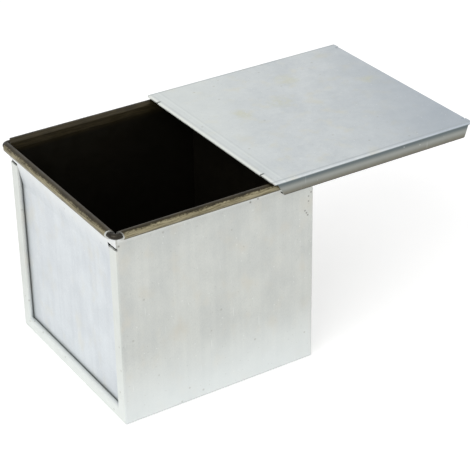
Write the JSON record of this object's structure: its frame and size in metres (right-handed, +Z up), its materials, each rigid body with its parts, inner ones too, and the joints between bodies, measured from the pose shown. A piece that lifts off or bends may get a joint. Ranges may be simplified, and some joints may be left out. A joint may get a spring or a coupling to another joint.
{
  "type": "pullman loaf pan",
  "caption": "Cube-shaped sheet-metal loaf pan with seamed end panels, a rim rolled around a wire and a flat lid that slides on along the rim.",
  "frame": {"origin": "centre of the pan's underside, on the surface it stands on", "axes": "+Z up, +X the way the lid slides off, -Y the front wall that the picture shows"},
  "size_m": [0.2022, 0.1178, 0.1075],
  "materials": {
    "pan_sheet": "satin",
    "panel_sheet": "satin",
    "rim_wire": "gloss",
    "lid_sheet": "satin"
  },
  "bodies": {
    "pan": {"body_wrap": "pan_sheet", "end_panel_left": "panel_sheet", "end_panel_right": "panel_sheet", "rim_wire": "rim_wire"},
    "lid": {"sliding_lid": "lid_sheet"}
  },
  "joints": [
    {"name": "lid_slide", "type": "slide", "parent": "pan", "child": "lid", "axis": [1, 0, 0], "range_m": [-0.0858, 0.035]}
  ]
}
